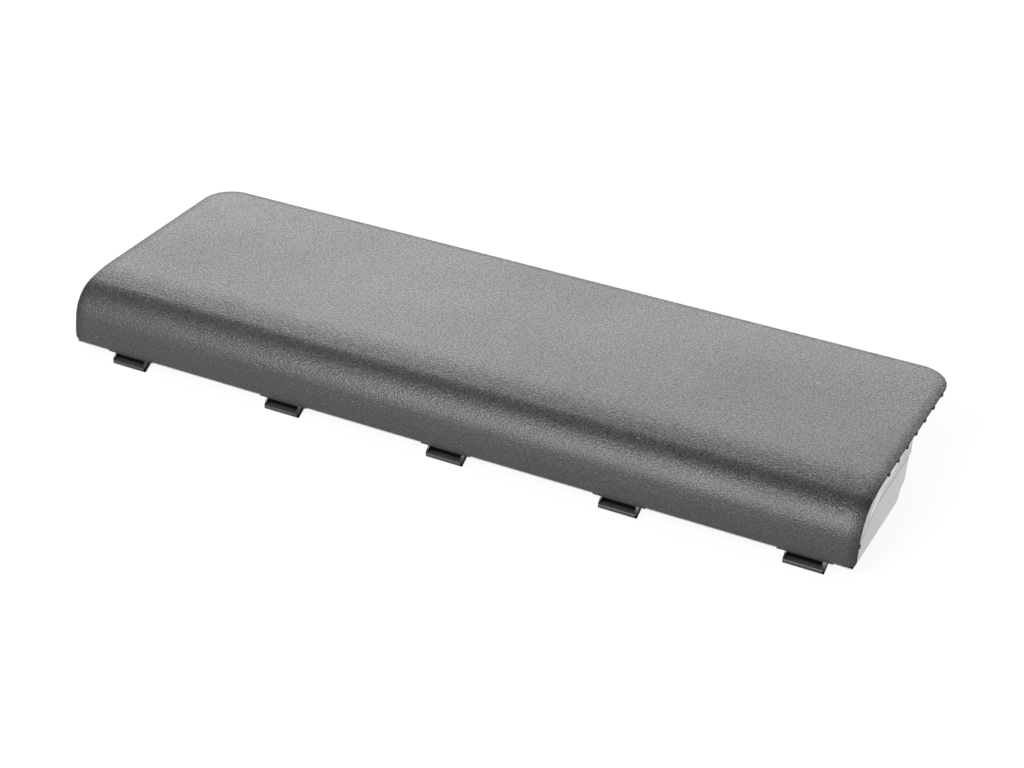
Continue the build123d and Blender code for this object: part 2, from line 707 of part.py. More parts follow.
def link_nodes():
    """Strips, links, cards and end pads."""
    half = ROW_LENGTH / 2
    card_near = STRIP + POST_CLEAR
    pad_near = card_near + END_CARD
    pad = END_SPACE - pad_near - PAD_SLACK
    nodes = {
        "strip_negative": end_strip((-half - STRIP, -half)),
        "strip_positive": end_strip((half, half + STRIP)),
        "end_card_left": end_piece(-1, card_near, END_CARD, CARD_ABOVE_AXIS),
        "end_card_right": end_piece(1, card_near, END_CARD, CARD_ABOVE_AXIS),
        "end_pad_left": end_piece(-1, pad_near, pad, PAD_ABOVE_AXIS),
        "end_pad_right": end_piece(1, pad_near, pad, PAD_ABOVE_AXIS),
    }
    for column in range(CELL_COLUMNS - 1):
        nodes[f"link_{column + 1}"] = link(column)
        nodes[f"card_{column + 1}"] = card(column)
    return nodes


def board_nodes():
    """Board, its parts, the connector, the thermistor and the two leads."""
    edge = BOARD_LENGTH / 2 - LEAD_ON_BOARD
    first_switch = SWITCH_SHARE * BOARD_LENGTH
    return {
        "board": board(),
        "gauge_chip": on_board(CHIP_SHARE * BOARD_LENGTH, CHIP_SIZE),
        "transistor_charge": on_board(first_switch, SWITCH_SIZE),
        "transistor_discharge": on_board(first_switch + SWITCH_PITCH, SWITCH_SIZE),
        "fuse": on_board(FUSE_SHARE * BOARD_LENGTH, FUSE_SIZE),
        "sense_resistor": on_board(RESISTOR_SHARE * BOARD_LENGTH, RESISTOR_SIZE),
        "capacitors": capacitors(),
        "connector_housing": connector_housing(),
        "connector_contacts": connector_contacts(),
        "thermistor": thermistor(),
        "lead_negative": lead(-ROW_LENGTH / 2, -edge),
        "lead_positive": lead(edge, ROW_LENGTH / 2),
    }


def main():
    """Build every node, seat it on the origin and write its file."""
    nodes = {"upper_case": upper_case(), "lower_case": lower_case()}
    nodes.update(cell_nodes())
    nodes.update(link_nodes())
    nodes.update(board_nodes())
    os.makedirs("parts", exist_ok=True)
    seat = Pos(0, -MID_Y, HOOK_DROP)
    for name, solid in nodes.items():
        export_step(seat * solid, f"parts/{name}.step")
    print(len(nodes), "nodes, cover", 2 * COVER_HALF, "by", COVER_WIDTH, "rise", COVER_RISE)


main()
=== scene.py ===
"""Laptop battery: its looks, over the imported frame.

Lengths are written in millimetres and turned to metres by MM. The places on the stage are in metres.
"""

from math import radians

import bmesh
import bpy
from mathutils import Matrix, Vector


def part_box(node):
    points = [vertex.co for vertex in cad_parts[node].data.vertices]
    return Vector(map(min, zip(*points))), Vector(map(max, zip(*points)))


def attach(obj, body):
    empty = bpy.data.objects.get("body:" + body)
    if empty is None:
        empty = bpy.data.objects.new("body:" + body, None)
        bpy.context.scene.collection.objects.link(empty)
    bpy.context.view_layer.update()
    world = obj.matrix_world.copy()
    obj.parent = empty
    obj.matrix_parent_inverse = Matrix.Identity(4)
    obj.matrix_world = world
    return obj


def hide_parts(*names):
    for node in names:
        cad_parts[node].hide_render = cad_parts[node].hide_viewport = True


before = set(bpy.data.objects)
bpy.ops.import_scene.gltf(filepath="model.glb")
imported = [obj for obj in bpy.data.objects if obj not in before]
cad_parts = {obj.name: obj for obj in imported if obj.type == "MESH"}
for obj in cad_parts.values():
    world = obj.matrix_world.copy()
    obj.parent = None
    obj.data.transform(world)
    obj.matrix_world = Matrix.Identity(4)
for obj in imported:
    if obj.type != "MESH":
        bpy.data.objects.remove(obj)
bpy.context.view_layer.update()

bl_info = {
    "name": "Laptop battery",
    "version": (1, 0, 0),
    "blender": (4, 5, 0),
    "location": "3D View > Sidebar > Battery",
    "description": "Builds the looks of a laptop battery over its packed frame",
    "category": "Object",
}

MM = 0.001

# Points nearer than this are one, and edges sharper than this show as edges
SAME_POINT = 0.001 * MM
SHARP = radians(32)

# A face's middle, or a place along the lip, this near a plane counts as on it
ON_PLANE = 0.1 * MM
ON_LINE = 0.01 * MM

# Places on the housing, from its nodes
COVER_LOW, COVER_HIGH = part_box("upper_case")
TRAY_LOW, TRAY_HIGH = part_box("lower_case")
TOP = COVER_HIGH.z
COVER_FRONT = COVER_LOW.y
COVER_END = -COVER_LOW.x
COVER_BACK = COVER_HIGH.y
TRAY_END = TRAY_HIGH.x

# The cover's rear corners, its duller rim, and the reach of its grained skin at the ends, border and roll
COVER_CORNER = 11 * MM
RIM_START = COVER_CORNER - 4.0 * MM
RIM_END = COVER_CORNER - 0.3 * MM
END_SKIN = 0.4 * MM
BORDER_DROP = 0.9 * MM
ROLL_REACH = 26 * MM

# The hooks along the tray's lip, and the lip itself above their feet
HOOK_COUNT = 5
HOOK_PITCH = 60.4 * MM
HOOK_SHIFT = 3.8 * MM
HOOK_HALF = 6.55 * MM
PAD_LEFT = 2.7 * MM
PAD_RIGHT = 2.0 * MM
FOOT_TOP = TRAY_LOW.z + 1.45 * MM
LIP_LOW = TRAY_LOW.z + 3.0 * MM
LIP_HIGH = TRAY_LOW.z + 3.7 * MM
LIP_REACH = 0.3 * MM
LIP_BAND = 2.5 * MM
HOOK_DEPTH = 0.5 * MM
CUT_NEAR = 0.0001 * MM

# A cell's section: the sleeve's fold over the bare base, the crimp groove, the ring and the button
BARE_BASE = 6.9 * MM
FOLD_INNER = 7.1 * MM
FOLD_OUTER = 7.9 * MM
FOLD_TOP = 8.2 * MM
FOLD_DEPTH = 0.12 * MM
SLEEVE_CORNER = 0.6 * MM
GROOVE_PLACE = 4.2 * MM
GROOVE_HALF = 0.9 * MM
GROOVE_FLOOR = 0.4 * MM
GROOVE_DEPTH = 0.35 * MM
RING_OUTER = 6.8 * MM
RING_INNER = 3.9 * MM
RING_DEPTH = 0.5 * MM
BUTTON_RADIUS = 3.4 * MM
BUTTON_RISE = 0.7 * MM
SPIN_STEPS = 64

# Where a cell's finishes meet: depth of each end's face, and radius of the base, ring and button
BASE_FACE = 0.3 * MM
TOP_FACE = 1.4 * MM
BASE_REACH = 7.2 * MM
RING_REACH = 7.0 * MM
BUTTON_REACH = 3.65 * MM

# The stage in metres and degrees: each softbox as its place, aim and size, then the camera
REAR_SOFTBOX = ((-0.46, 1.06, 0.62), (0, 0.02, 0), (1.5, 0.7))
FRONT_SOFTBOX = ((-0.22, -1.06, 0.72), (0.04, -0.04, 0.01), (0.45, 1.35))
CAMERA_PLACE = (0.2770, -0.55722, 0.3724)
CAMERA_TURN = (59.333, -1.364, 26.867)
CAMERA_LENS = 76.29
CAMERA_SENSOR = 36.0

# Shares of white in the floor as it is seen, and in the light from the sky
WHITE = (1, 1, 1, 1)
FLOOR_WHITE = 0.92
SKY_WHITE = 0.62


def linear(code):
    """Linear colour of an sRGB hex value."""
    parts = [int(code[at:at + 2], 16) / 255 for at in (1, 3, 5)]
    return [part / 12.92 if part <= 0.04045 else ((part + 0.055) / 1.055) ** 2.4 for part in parts] + [1.0]


def colour_property(name, description, code):
    """Colour property whose default is an sRGB hex value."""
    return bpy.props.FloatVectorProperty(
        name=name, description=description, subtype="COLOR", size=4, min=0, max=1, default=linear(code))


def length_property(name, description, millimetres):
    """Length property whose default is in millimetres."""
    return bpy.props.FloatProperty(
        name=name, description=description, unit="LENGTH", default=millimetres * MM)


class BatteryFinish(bpy.types.PropertyGroup):
    """Colours, grain and rounding of the housing."""

    cover: colour_property("Cover", "Colour of the grained cover", "#272728")
    tray: colour_property("Tray", "Colour of the polished tray", "#151516")
    hook: colour_property("Hooks", "Colour of the satin hooks and hidden sides", "#171718")
    # The lighter colour of the hooks' noses is a painted highlight, where their fronts would catch the light
    nose_highlight: colour_property("Hook noses", "Colour of the rubbed noses of the hooks", "#262627")
    # The near-black inside the hooks is painted shade under the cover's overhang
    core: colour_property("Core", "Colour of the matte faces inside the hooks", "#060607")
    # The lip's light grey is a painted reflection of the pale table
    lip: colour_property("Lip", "Colour of the bright lip under the cover", "#8C8D8C")
    speck: colour_property("Specks", "Colour of dust and rubbed grains on the cover", "#8A8A87")

    # The grain is drawn a little coarser than the real one, so that it shows from a distance
    grain: length_property("Grain", "Width of one pebble of the cover's grain", 0.55)
    grain_height: length_property("Grain height", "Height of the cover's grain", 0.13)
    edge: length_property("Edge", "Rounding of the moulded edges", 0.12)


class BatteryStage(bpy.types.PropertyGroup):
    """Floor and lamps."""

    floor: colour_property("Floor", "Colour of the floor", "#F2F2F1")
    floor_size: length_property("Floor size", "Length of one side of the floor", 8000)
    rear_power: bpy.props.FloatProperty(
        name="Rear softbox", description="Power of the softbox behind the battery",
        unit="POWER", default=14.2)
    front_power: bpy.props.FloatProperty(
        name="Front softbox", description="Power of the softbox before the battery",
        unit="POWER", default=21.5)


def node(tree, kind, links=None, **settings):
    """Add a shader node with its settings, and link its sockets to outputs or values."""
    new = tree.nodes.new(kind)
    for name, value in settings.items():
        setattr(new, name, value)
    for socket, value in (links or {}).items():
        if isinstance(value, bpy.types.NodeSocket):
            tree.links.new(value, new.inputs[socket])
        else:
            new.inputs[socket].default_value = value
    return new


def blank_material(name):
    """New material with a principled shader on its output."""
    material = bpy.data.materials.new(name)
    material.use_nodes = True
    tree = material.node_tree
    tree.nodes.clear()
    shader = node(tree, "ShaderNodeBsdfPrincipled")
    node(tree, "ShaderNodeOutputMaterial", {"Surface": shader.outputs[0]})
    place = node(tree, "ShaderNodeTexCoord").outputs["Object"]
    return material, tree, shader, place


def ramp(tree, value, *stops):
    """Colour ramp through stops of (place, colour)."""
    new = node(tree, "ShaderNodeValToRGB", {"Fac": value})
    elements = new.color_ramp.elements
    while len(elements) < len(stops):
        elements.new(1.0)
    for element, (place, colour) in zip(elements, stops):
        element.position = place
        element.color = colour
    return new.outputs["Color"]


def shade(colour, factor):
    """Colour made lighter or darker."""
    return [min(1.0, part * factor) for part in colour[:3]] + [1.0]


def drive(tree, shader, **sockets):
    """Link or set a shader's sockets, named with spaces as underscores."""
    for name, value in sockets.items():
        socket = shader.inputs[name.replace("_", " ")]
        if isinstance(value, bpy.types.NodeSocket):
            tree.links.new(value, socket)
        else:
            socket.default_value = value


def sum_of(tree, first, second, operation="ADD"):
    """Result of a maths node on two sockets or values."""
    return node(tree, "ShaderNodeMath", {0: first, 1: second}, operation=operation).outputs[0]


def scaled(tree, value, low, high, source=(0.0, 1.0)):
    """Value taken from one range to another, held at its ends."""
    return node(tree, "ShaderNodeMapRange", {
        "Value": value, "From Min": source[0], "From Max": source[1],
        "To Min": low, "To Max": high}).outputs[0]


def spaced(millimetres):
    """Scale of a pattern whose cells are so many millimetres wide."""
    return 1 / (millimetres * MM)


def spots(tree, place, scale):
    """Distance to the nearest of the scattered middles of a cell pattern."""
    return node(tree, "ShaderNodeTexVoronoi", {
        "Vector": place, "Scale": scale, "Randomness": 1.0}).outputs["Distance"]


def clouds(tree, place, scale, detail):
    """Height of a cloudy pattern."""
    return node(tree, "ShaderNodeTexNoise", {
        "Vector": place, "Scale": scale, "Detail": detail}).outputs["Fac"]


def bump(tree, height, strength, distance):
    """Normal of a surface that a pattern raises."""
    return node(tree, "ShaderNodeBump", {
        "Height": height, "Strength": strength, "Distance": distance}).outputs["Normal"]


def scratches(tree, place, turn, stretch, scale, share):
    """Short fine marks that lie one way: the middles of the cells of a stretched pattern."""
    turned = node(tree, "ShaderNodeMapping", {
        "Vector": place, "Rotation": (0, 0, radians(turn)), "Scale": (1.0, stretch, stretch)}).outputs[0]
    return sum_of(tree, spots(tree, turned, scale), share, "LESS_THAN")


def rim_share(tree, place):
    """Share that falls from 1 to 0 over the last millimetres before the cover's ends and rear edge."""
    side, back, _ = node(tree, "ShaderNodeSeparateXYZ", {0: place}).outputs
    past_side = sum_of(tree, sum_of(tree, side, 0.0, "ABSOLUTE"), COVER_END - COVER_CORNER, "SUBTRACT")
    past_back = sum_of(tree, back, COVER_BACK - COVER_CORNER, "SUBTRACT")
    past = node(tree, "ShaderNodeCombineXYZ", {
        0: sum_of(tree, past_side, 0.0, "MAXIMUM"), 1: sum_of(tree, past_back, 0.0, "MAXIMUM")}).outputs[0]
    reach = node(tree, "ShaderNodeVectorMath", {0: past}, operation="LENGTH").outputs["Value"]
    return scaled(tree, reach, 1.0, 0.0, (RIM_START, RIM_END))


def grained_plastic(finish):
    """Black PC/ABS moulded in an etched tool: a leather-like pebble that breaks up every soft reflection."""
    material, tree, shader, place = blank_material("cover_grained_plastic")
    pebble = node(tree, "ShaderNodeTexVoronoi", {
        "Vector": place, "Scale": 1 / finish.grain, "Smoothness": 0.35, "Randomness": 1.0},
        feature="SMOOTH_F1").outputs["Distance"]
    lump = node(tree, "ShaderNodeTexNoise", {
        "Vector": place, "Scale": 0.8 / finish.grain, "Detail": 2.0, "Roughness": 0.6}).outputs["Fac"]
    height = sum_of(tree, lump, sum_of(tree, pebble, 0.55, "MULTIPLY"), "SUBTRACT")
    crest = scaled(tree, height, 0.0, 1.0, (0.12, 0.42))
    broad = clouds(tree, place, spaced(45), 3.0)

    # The flat top has shinier crests than the roll, and smaller specks of dust
    level = node(tree, "ShaderNodeSeparateXYZ", {0: place}).outputs["Z"]
    flat = scaled(tree, level, 0.0, 1.0, (TOP - 8 * MM, TOP - 1 * MM))
    gloss = scaled(tree, crest, scaled(tree, flat, 0.41, 0.26), scaled(tree, flat, 0.53, 0.69))
    speck = sum_of(tree, spots(tree, place, spaced(1.9)), scaled(tree, flat, 0.055, 0.02), "LESS_THAN")
    marks = sum_of(
        tree, scratches(tree, place, 35, 8.0, spaced(30), 0.022),
        scratches(tree, place, -52, 7.0, spaced(36), 0.02), "MAXIMUM")
    # The grain's tone follows its height: lighter on the crests, and darker in the pits as painted shade
    tone = ramp(tree, crest, (0.0, shade(finish.cover, 0.84)), (1.0, shade(finish.cover, 1.12)))
    base = node(tree, "ShaderNodeMix", {
        0: sum_of(tree, speck, marks, "MAXIMUM"), 6: tone, 7: finish.speck}, data_type="RGBA").outputs[2]

    # The rim along the ends and the rear is duller than the rest
    rim = scaled(tree, rim_share(tree, place), 0.42, 1.0)
    drive(
        tree, shader, Base_Color=base, IOR=1.6,
        Roughness=scaled(tree, broad, 0.36, 0.42, (0.3, 0.7)),
        Specular_IOR_Level=sum_of(tree, gloss, rim, "MULTIPLY"),
        Normal=bump(tree, height, 1.0, finish.grain_height))
    return material


def polished_plastic(finish):
    """Black PC/ABS from a polished tool: a clear mirror of the table, with faint waves and rubbed haze."""
    material, tree, shader, place = blank_material("tray_polished_plastic")
    waves = clouds(tree, place, spaced(25), 1.5)
    rubbed = clouds(tree, place, spaced(2.4), 4.0)
    drive(
        tree, shader, IOR=1.56, Coat_Weight=1.0, Coat_IOR=1.74, Coat_Roughness=0.12,
        Base_Color=ramp(tree, rubbed, (0.35, shade(finish.tray, 0.85)), (0.7, shade(finish.tray, 1.25))),
        Roughness=scaled(tree, rubbed, 0.12, 0.22),
        Normal=bump(tree, waves, 0.08, 0.2 * MM))
    return material


def satin_plastic(name, colour):
    """PC/ABS off a plain machined tool: satin, with the fine even haze of the tool's last pass."""
    material, tree, shader, place = blank_material(name)
    haze = clouds(tree, place, spaced(1.1), 3.0)
    passes = node(tree, "ShaderNodeTexWave", {
        "Vector": place, "Scale": spaced(3.8), "Distortion": 1.5, "Detail": 1.0},
        bands_direction="Y").outputs["Fac"]
    height = sum_of(tree, haze, sum_of(tree, passes, 0.3, "MULTIPLY"))
    drive(
        tree, shader, IOR=1.52,
        Base_Color=ramp(tree, haze, (0.3, shade(colour, 0.8)), (0.7, shade(colour, 1.3))),
        Roughness=scaled(tree, haze, 0.3, 0.42),
        Normal=bump(tree, height, 0.25, 0.01 * MM))
    return material


def hollow_shade_plastic(finish):
    """Near-black matte on the faces inside the hooks: painted shade, where the cover's shadow falls."""
    material, tree, shader, place = blank_material("hook_hollow_painted_shade")
    shade_mottle = clouds(tree, place, spaced(0.45), 2.0)
    drive(
        tree, shader, IOR=1.35, Specular_IOR_Level=0.15,
        Base_Color=ramp(tree, shade_mottle, (0.3, shade(finish.core, 0.7)), (0.7, shade(finish.core, 1.4))),
        Roughness=scaled(tree, shade_mottle, 0.55, 0.75),
        Normal=bump(tree, shade_mottle, 0.4, 0.02 * MM))
    return material


def lip_reflection_plastic(finish):
    """The lip's rounded edge under a polished coat, whose light grey colour is a painted reflection of the
    pale table, seen as a light line.
    """
    material, tree, shader, place = blank_material("lip_edge_painted_reflection")
    haze = clouds(tree, place, spaced(3.3), 3.0)
    drive(
        tree, shader, IOR=1.56, Coat_Weight=1.0, Coat_IOR=1.9,
        Base_Color=ramp(tree, haze, (0.3, shade(finish.lip, 0.8)), (0.7, shade(finish.lip, 1.15))),
        Roughness=scaled(tree, haze, 0.15, 0.3),
        Normal=bump(tree, haze, 0.2, 0.02 * MM))
    return material


def simple_material(name, code, roughness, metallic=0.0, grain_mm=0.3, contrast=0.18, height_mm=0.01):
    """Material with a fine mottle in its colour, roughness and surface."""
    material, tree, shader, place = blank_material(name)
    mottle = clouds(tree, place, spaced(grain_mm), 3.0)
    colour = linear(code)
    tone = ramp(tree, mottle, (0.3, shade(colour, 1 - contrast)), (0.7, shade(colour, 1 + contrast)))
    drive(
        tree, shader, Base_Color=tone, Metallic=metallic,
        Roughness=scaled(tree, mottle, roughness - 0.06, roughness + 0.06),
        Normal=bump(tree, mottle, 0.3, height_mm * MM))
    return material


def dress(names, material):
    """Give CAD nodes a material."""
    for name in names:
        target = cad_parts[name]
        target.data.materials.clear()
        target.data.materials.append(material)


def numbered(stem, count):
    """Names of a run of like nodes."""
    return [f"{stem}_{number + 1}" for number in range(count)]


def merged_copy(source):
    """Copy of a CAD node's mesh with its loose triangles joined into flats."""
    made = bmesh.new()
    made.from_mesh(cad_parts[source].data)
    bmesh.ops.remove_doubles(made, verts=made.verts, dist=SAME_POINT)
    bmesh.ops.dissolve_limit(
        made, angle_limit=radians(0.2), use_dissolve_boundaries=False,
        verts=made.verts, edges=made.edges, delimit=set())
    return made


def round_edges(made, edge):
    """Round the sharp edges that have room for it beside them."""
    room = 4 * edge
    chosen = []
    for line in made.edges:
        if len(line.link_faces) != 2 or line.calc_face_angle(0.0) < SHARP:
            continue
        beside = [near.calc_length() for corner in line.verts for near in corner.link_edges]
        if min(beside) > room:
            chosen.append(line)
    bmesh.ops.bevel(
        made, geom=chosen, offset=edge, offset_type="OFFSET", affect="EDGES", segments=2,
        profile=0.5, material=-1, clamp_overlap=False, harden_normals=False)


def darken_seams(made, polished, satin):
    """Give the rounded edges of the polished ends the satin finish, so that the seam reads as a line."""
    for face in made.faces:
        if face.material_index == polished and abs(face.normal.x) < 0.97:
            face.material_index = satin


def finished_piece(made, name, slot, materials, *nodes):
    """Object from a finished mesh that stands for CAD nodes."""
    mesh = bpy.data.meshes.new(name)
    made.to_mesh(mesh)
    made.free()
    mesh.shade_smooth()
    mesh.set_sharp_from_angle(angle=SHARP)
    piece = bpy.data.objects.new(name, mesh)
    bpy.context.scene.collection.objects.link(piece)
    for material in materials:
        mesh.materials.append(material)
    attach(piece, "root")
    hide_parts(*nodes)


def cover_region(face):
    """Material of a face of the cover: 0 the grained skin, 1 the polished ends and nubs, 2 hidden sides."""
    middle, normal = face.calc_center_median(), face.normal
    if abs(middle.x) > COVER_END - END_SKIN:
        return 1 if abs(middle.x) > COVER_END + ON_LINE else 0
    if normal.z > 0.3 and middle.z > TOP - BORDER_DROP:
        return 0
    if normal.y < -0.1 and middle.y < COVER_FRONT + ROLL_REACH:
        return 0
    if abs(normal.x) > 0.7 and abs(middle.x) > TRAY_END - ON_PLANE:
        return 1
    return 2


def tray_region(face):
    """Material of a tray face: 0 polished ends, 1 satin, 2 the lip's painted reflection, 3 a hook's hollow in
    painted shade, 4 the front and top of a hook's foot with a painted highlight.
    """
    middle, normal = face.calc_center_median(), face.normal
    if abs(normal.x) > 0.7 and abs(middle.x) > TRAY_END - ON_PLANE:
        return 0
    on_lip = middle.y < COVER_FRONT + LIP_REACH and LIP_LOW - LIP_REACH < middle.z < LIP_HIGH
    # The lip away from the hooks takes the light grey of a painted reflection
    if on_lip and not near_hook(middle.x):
        return 2
    # The faces inside a hook take the near-black of painted shade
    if inside_hook(middle, normal):
        return 3
    # The forward and upward faces of a hook's foot take the lighter colour: a painted highlight
    on_foot = middle.y < COVER_FRONT and middle.z < FOOT_TOP + ON_PLANE
    return 4 if on_foot and (normal.y < -0.8 or normal.z > 0.3) else 1


def inside_hook(middle, normal):
    """Whether a face is a side wall of a hook, or the back of the hollow over its foot."""
    if middle.y > COVER_FRONT + HOOK_DEPTH or middle.z > LIP_LOW:
        return False
    return abs(normal.x) > 0.7 or (middle.y > COVER_FRONT and FOOT_TOP - ON_PLANE < middle.z)


def hook_middles():
    """Places of the hooks along the tray."""
    return [HOOK_SHIFT + (step - (HOOK_COUNT - 1) / 2) * HOOK_PITCH for step in range(HOOK_COUNT)]


def pad_spans():
    """Ends in x of the pads round the hooks."""
    return [(middle - HOOK_HALF - PAD_LEFT, middle + HOOK_HALF + PAD_RIGHT) for middle in hook_middles()]


def near_hook(x):
    """Whether a place along the lip is on a hook's pad."""
    return any(left - ON_LINE < x < right + ON_LINE for left, right in pad_spans())


def cut_lip(made):
    """Cut the lip's faces at the ends of each pad, so that the lip between the pads can have its own
    material, a painted reflection.
    """
    for span in pad_spans():
        for x in span:
            faces = [face for face in made.faces if face.calc_center_median().y < COVER_FRONT + LIP_BAND]
            geometry = {part for face in faces for part in (face, *face.edges, *face.verts)}
            bmesh.ops.bisect_plane(
                made, geom=list(geometry), dist=CUT_NEAR, plane_co=(x, 0, 0), plane_no=(1, 0, 0))


class BATTERY_OT_cover(bpy.types.Operator):
    """Make the grained cover"""

    bl_idname = "battery.cover"
    bl_label = "Cover"

    def execute(self, context):
        finish = context.scene.battery_finish
        made = merged_copy("upper_case")
        for face in made.faces:
            face.material_index = cover_region(face)
        round_edges(made, finish.edge)
        darken_seams(made, polished=1, satin=2)
        materials = [
            grained_plastic(finish),
            polished_plastic(finish),
            satin_plastic("satin_moulded_plastic", finish.hook),
        ]
        finished_piece(made, "cover", "cover_plastic", materials, "upper_case")
        return {"FINISHED"}


class BATTERY_OT_tray(bpy.types.Operator):
    """Make the polished tray with its hooks, after the cover, two of whose materials it shares"""

    bl_idname = "battery.tray"
    bl_label = "Tray"

    def execute(self, context):
        finish = context.scene.battery_finish
        made = merged_copy("lower_case")
        cut_lip(made)
        for face in made.faces:
            face.material_index = tray_region(face)
        round_edges(made, finish.edge)
        darken_seams(made, polished=0, satin=1)
        materials = [
            bpy.data.materials["tray_polished_plastic"],
            bpy.data.materials["satin_moulded_plastic"],
            # The lip's light grey is a painted reflection
            lip_reflection_plastic(finish),
            # The near-black hollows of the hooks are painted shade
            hollow_shade_plastic(finish),
            # The lighter satin on the hooks' noses is a painted highlight
            satin_plastic("hook_nose_painted_highlight", finish.nose_highlight),
        ]
        finished_piece(made, "tray", "tray_plastic", materials, "lower_case")
        return {"FINISHED"}


def cell_profile(length, radius):
    """Half section of a cell as (place along it, radius), base first."""
    corner = SLEEVE_CORNER
    groove = length - GROOVE_PLACE
    shoulder = length - BUTTON_RISE
    ring = shoulder - RING_DEPTH
    return [
        (0.0, 0.0), (0.0, BARE_BASE),
        (FOLD_DEPTH, FOLD_INNER), (FOLD_DEPTH, FOLD_OUTER), (0.0, FOLD_TOP),
        (0.25 * corner, radius - 0.3 * corner), (corner, radius),
        (groove - GROOVE_HALF, radius), (groove - GROOVE_FLOOR, radius - GROOVE_DEPTH),
        (groove + GROOVE_FLOOR, radius - GROOVE_DEPTH), (groove + GROOVE_HALF, radius),
        (shoulder - corner, radius), (shoulder - 0.25 * corner, radius - 0.3 * corner),
        (shoulder, radius - corner), (shoulder, FOLD_INNER),
        (ring, RING_OUTER), (ring, RING_INNER),
        (shoulder - 0.3 * MM, BUTTON_RADIUS), (length - 0.15 * MM, BUTTON_RADIUS),
        (length, BUTTON_RADIUS - 0.2 * MM), (length, 0.0),
    ]


def cell_region(face, base, axis_y, axis_z, length):
    """Material of a face of a cell: 0 the sleeve, 1 the ring under it, 2 the bare can and button."""
    middle = face.calc_center_median()
    out = ((middle.y - axis_y) ** 2 + (middle.z - axis_z) ** 2) ** 0.5
    along = middle.x - base
    if along < BASE_FACE:
        return 2 if out < BASE_REACH else 0
    if along > length - TOP_FACE and out < RING_REACH:
        return 1 if out > BUTTON_REACH else 2
    return 0


def spun_cell(source, materials):
    """Cell turned from its section: sleeve shrunk over the crimp groove, ring, bare base and button."""
    low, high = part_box(source)
    length, radius = high.x - low.x, (high.y - low.y) / 2
    axis = Vector((0, (low.y + high.y) / 2, (low.z + high.z) / 2))
    made = bmesh.new()
    points = [
        made.verts.new((low.x + along, axis.y, axis.z + out)) for along, out in cell_profile(length, radius)]
    lines = [made.edges.new(pair) for pair in zip(points, points[1:])]
    bmesh.ops.spin(
        made, geom=points + lines, cent=axis, axis=(1, 0, 0), dvec=(0, 0, 0),
        angle=radians(360), steps=SPIN_STEPS, use_merge=True, use_normal_flip=False)
    bmesh.ops.remove_doubles(made, verts=made.verts, dist=SAME_POINT)
    bmesh.ops.recalc_face_normals(made, faces=made.faces)
    for face in made.faces:
        face.material_index = cell_region(face, low.x, axis.y, axis.z, length)
    finished_piece(made, source + "_sleeved", "sleeve_film", materials, source)


class BATTERY_OT_cells(bpy.types.Operator):
    """Make the sleeved cells and finish what joins them"""

    bl_idname = "battery.cells"
    bl_label = "Cells and links"

    def execute(self, context):
        # Shrunk film has a soft shine with slow ripples, ring paper is dull, and plated steel is bright
        materials = [
            simple_material(
                "cell_shrunk_sleeve", "#2E6E9E", 0.3, grain_mm=4.0, contrast=0.08, height_mm=0.03),
            simple_material("pressed_ring_paper", "#D8D2C2", 0.85, grain_mm=0.15),
            simple_material("nickel_plated_steel", "#B4B2AC", 0.28, 1.0, grain_mm=0.2, contrast=0.1),
        ]
        for name in numbered("cell", 8):
            spun_cell(name, materials)

        # Rolled nickel shines, fibre card is dull and straw-coloured, and foam is dark and uneven
        strips = numbered("link", 3) + ["strip_negative", "strip_positive"]
        dress(strips, simple_material("rolled_nickel_strip", "#B9B4A8", 0.3, 1.0))
        cards = numbered("card", 3) + ["end_card_left", "end_card_right"]
        dress(cards, simple_material("pressed_fibre_card", "#B9AE93", 0.8))
        dress(["end_pad_left", "end_pad_right"], simple_material(
            "closed_cell_foam", "#2A2A2B", 0.9, grain_mm=0.5, contrast=0.35, height_mm=0.2))
        return {"FINISHED"}


class BATTERY_OT_board(bpy.types.Operator):
    """Finish the protection board, its parts and the leads"""

    bl_idname = "battery.board"
    bl_label = "Board"

    def execute(self, context):
        # Masked laminate has a green shine, and its parts are satin resin, pale ceramic and grey alloy
        dress(["board"], simple_material("glass_laminate_board", "#1F5B37", 0.35))
        chips = ["gauge_chip", "transistor_charge", "transistor_discharge"]
        dress(chips, simple_material("moulded_chip_resin", "#1B1B1D", 0.5))
        dress(["fuse"], simple_material("white_fuse_ceramic", "#D9D5CB", 0.45))
        dress(["sense_resistor"], simple_material("resistor_alloy", "#8C8A86", 0.35, 1.0))
        dress(["capacitors"], simple_material("capacitor_ceramic", "#B08A5B", 0.5))

        # Dipped resin and silicone sheaths have a low, even shine
        dress(["thermistor"], simple_material("dipped_bead_resin", "#20242B", 0.4))
        dress(["lead_negative"], simple_material("black_silicone_sheath", "#1A1A1A", 0.55))
        dress(["lead_positive"], simple_material("red_silicone_sheath", "#A8221E", 0.5))
        return {"FINISHED"}


class BATTERY_OT_connector(bpy.types.Operator):
    """Make the slotted connector body and finish its contacts"""

    bl_idname = "battery.connector"
    bl_label = "Connector"

    def execute(self, context):
        made = merged_copy("connector_housing")
        round_edges(made, 0.6 * context.scene.battery_finish.edge)

        # Glass-filled nylon has a fine dry speckle, and flashed brass is a soft gold mirror
        nylon = simple_material(
            "connector_nylon", "#1B1B1E", 0.42, grain_mm=0.12, contrast=0.25, height_mm=0.02)
        finished_piece(made, "connector_body", "connector_plastic", [nylon], "connector_housing")
        dress(["connector_contacts"], simple_material("gold_flashed_brass", "#D6B25E", 0.25, 1.0))
        return {"FINISHED"}


